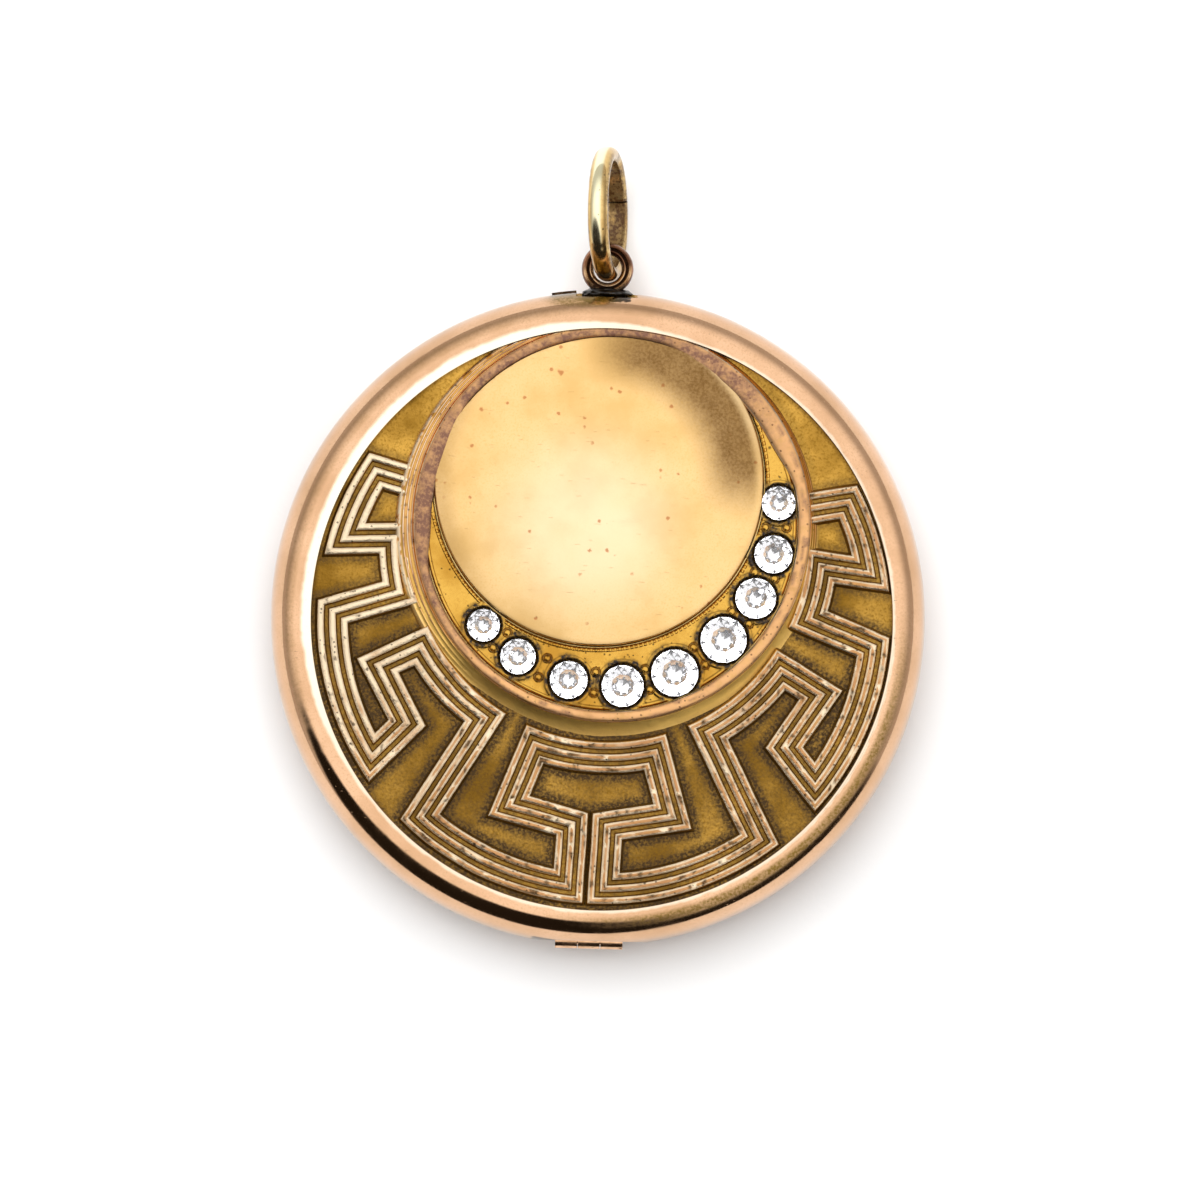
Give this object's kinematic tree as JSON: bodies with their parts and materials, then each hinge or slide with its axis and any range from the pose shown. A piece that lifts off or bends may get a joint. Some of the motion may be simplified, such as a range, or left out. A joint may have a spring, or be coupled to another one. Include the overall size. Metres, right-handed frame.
{
  "type": "locket",
  "caption": "Round hinged picture locket with a rolled rim, raised meander border, domed disc in a stone-set crescent, and a jump ring through an eye at the top.",
  "frame": {"origin": "centre of the back's flat outer face", "axes": "+Z out of the front face, +Y from the centre towards the eye and jump ring, +X to the right seen from the front"},
  "size_m": [0.032, 0.0393, 0.0066],
  "materials": {
    "rose_gold": "polished rose-gold-filled sheet, softly worn",
    "bloomed_gold": "matte stippled yellow gold ground with worn raised lines",
    "moulding_gold": "worn yellow gold over a pinkish base metal",
    "satin_gold": "satin-polished yellow gold with fine scratches and pits",
    "bright_gold": "bright yellow gold, pitted",
    "inner_gilt": "smooth gilt",
    "hinge_gold": "worn rose gold, darker in the joints",
    "eye_gold": "rose gold under dark brown patina",
    "old_solder": "dark oxidised lead solder",
    "ring_gold": "pale yellow gold wire, polished",
    "paste": "clear faceted paste, foiled behind",
    "clear_window": "clear celluloid, slightly yellowed",
    "picture_card": "blank cream card"
  },
  "bodies": {
    "case": {"back_shell": "rose_gold", "snap_ring": "inner_gilt", "case_photo_card": "picture_card", "case_window": "clear_window", "case_photo_frame": "inner_gilt", "case_knuckles": "hinge_gold", "hinge_pin": "hinge_gold", "eye": "eye_gold", "eye_solder": "old_solder"},
    "cover": {"cover_rim": "rose_gold", "nail_lip": "rose_gold", "key_panel": "bloomed_gold", "moulding_ring": "moulding_gold", "moon_disc": "satin_gold", "crescent_plate": "bright_gold", "cover_lining": "inner_gilt", "cover_bezel": "inner_gilt", "cover_photo_card": "picture_card", "cover_window": "clear_window", "cover_photo_frame": "inner_gilt", "cover_knuckle": "hinge_gold", "paste_stone_1": "paste", "paste_stone_2": "paste", "paste_stone_3": "paste", "paste_stone_4": "paste", "paste_stone_5": "paste", "paste_stone_6": "paste", "paste_stone_7": "paste", "paste_stone_8": "paste", "paste_stone_9": "paste"},
    "jump_ring": {"jump_ring": "ring_gold"}
  },
  "joints": [
    {"name": "cover_hinge", "type": "hinge", "parent": "case", "child": "cover", "pos_m": [0, -0.01575, 0.003], "axis": [1, 0, 0], "range_deg": [0, 165]},
    {"name": "jump_ring_swing", "type": "hinge", "parent": "case", "child": "jump_ring", "pos_m": [0, 0.01717, 0.0031], "axis": [0, 0, 1], "range_deg": [-85, 85]}
  ]
}
